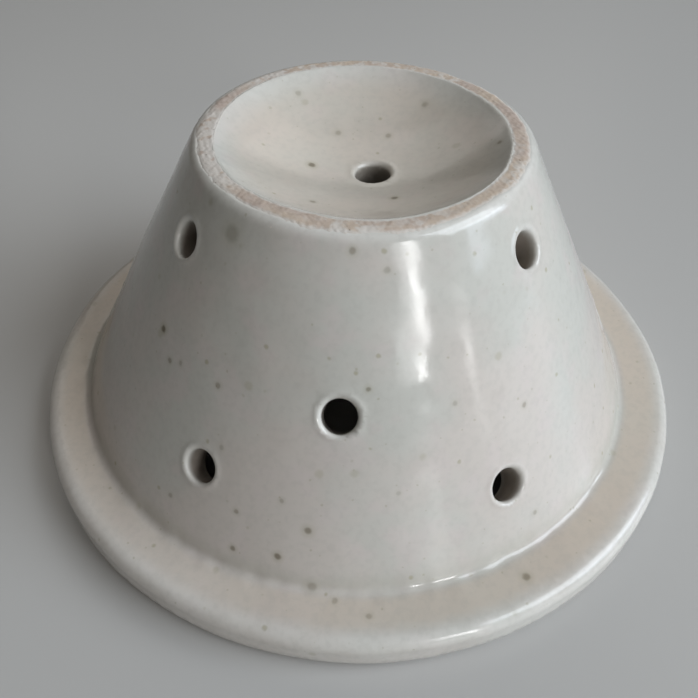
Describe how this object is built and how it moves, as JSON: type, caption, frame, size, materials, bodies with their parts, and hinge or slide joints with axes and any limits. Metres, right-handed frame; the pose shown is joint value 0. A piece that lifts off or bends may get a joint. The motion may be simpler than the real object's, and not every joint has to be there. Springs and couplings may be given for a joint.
{
  "type": "perforated straining cup",
  "caption": "Conical glazed stoneware straining cup with a wide round rim flange, pierced wall and floor, and a bare clay foot ring; stands mouth down.",
  "frame": {"origin": "centre of the resting face of the flange, on the turning axis", "axes": "+Z along the turning axis from the mouth towards the foot; -Y is the front, where the middle hole of the pattern is"},
  "size_m": [0.085, 0.085, 0.0393],
  "materials": {
    "bare_stoneware": "bare fired stoneware, matt, slightly rough, pinkish tan",
    "speckled_glaze": "glossy warm pale grey glaze with fine dark iron specks"
  },
  "bodies": {
    "root": {"clay_body": "bare_stoneware", "glaze_coat": "speckled_glaze"}
  },
  "joints": []
}
